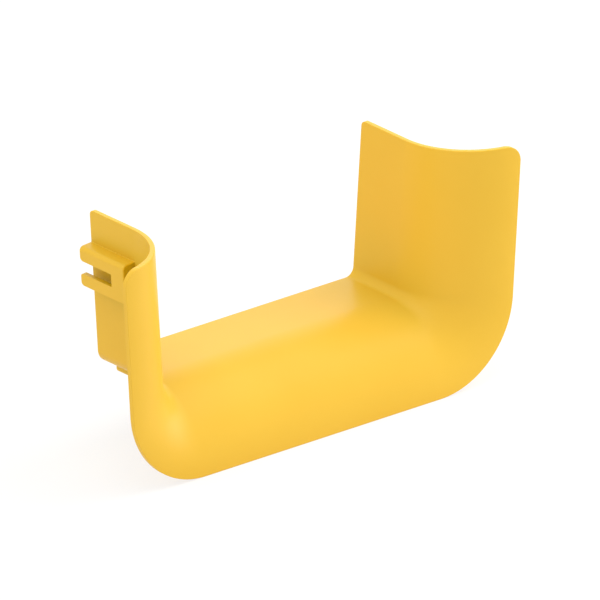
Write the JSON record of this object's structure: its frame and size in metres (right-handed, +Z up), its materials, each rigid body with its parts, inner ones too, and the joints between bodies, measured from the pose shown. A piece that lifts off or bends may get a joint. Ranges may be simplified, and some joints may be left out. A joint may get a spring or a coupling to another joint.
{
  "type": "fibre raceway flared exit",
  "caption": "Moulded U-shaped raceway exit: floor and leaning walls roll outwards into a smooth flare, with windowed clips flush with its back edge.",
  "frame": {"origin": "middle of the floor's back end face, at half the sheet's thickness", "axes": "+X across the trough, +Y back towards the raceway, +Z up"},
  "size_m": [0.3156, 0.0912, 0.152],
  "materials": {
    "yellow_plastic": "satin moulded"
  },
  "bodies": {
    "root": {"flared_trough": "yellow_plastic"}
  },
  "joints": []
}
